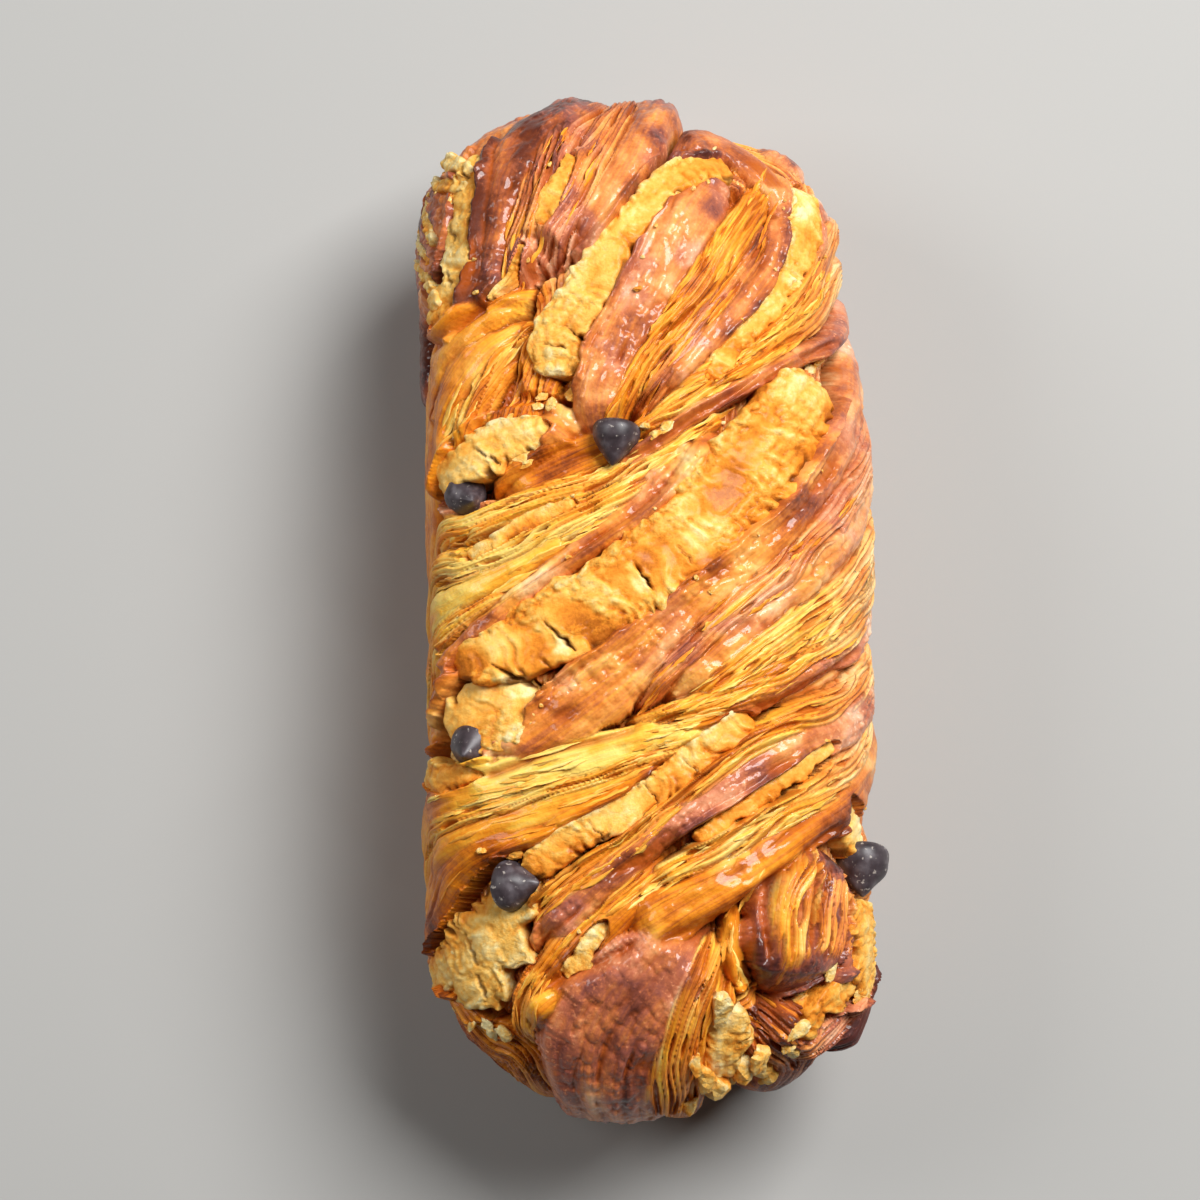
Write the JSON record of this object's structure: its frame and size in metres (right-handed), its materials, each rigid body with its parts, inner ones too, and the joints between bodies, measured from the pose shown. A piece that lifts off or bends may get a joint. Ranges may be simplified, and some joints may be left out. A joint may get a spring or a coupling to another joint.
{
  "type": "halva babka",
  "caption": "Twisted, laminated babka loaf baked in a tin: a domed, strand-covered top, a flat bottom, ribbons of halva between the strands and chocolate chips sunk in them.",
  "frame": {"origin": "on the flat bottom, under the middle of the loaf's core", "axes": "+Z up, +Y along the loaf towards the end where the cut edge of the roll shows, +X to the right as seen from above with +Y up"},
  "size_m": [0.1008, 0.2206, 0.0795],
  "materials": {
    "crust": "glazed brown crust over flaky amber layers",
    "halva": "matt, crumbly, toasted in places",
    "chocolate": "satin with a pale bloom"
  },
  "bodies": {
    "root": {"dough": "crust", "halva_cut_end": "halva", "halva_top_patch": "halva", "halva_upper": "halva", "halva_shoulder": "halva", "halva_left": "halva", "halva_strip": "halva", "halva_broad": "halva", "halva_block": "halva", "halva_lower": "halva", "halva_flakes": "halva", "halva_thread": "halva", "halva_pocket": "halva", "halva_end": "halva", "halva_edge": "halva", "halva_wall": "halva", "halva_corner": "halva", "chip_upper": "chocolate", "chip_left": "chocolate", "chip_block": "chocolate", "chip_lower": "chocolate", "chip_edge": "chocolate"}
  },
  "joints": []
}
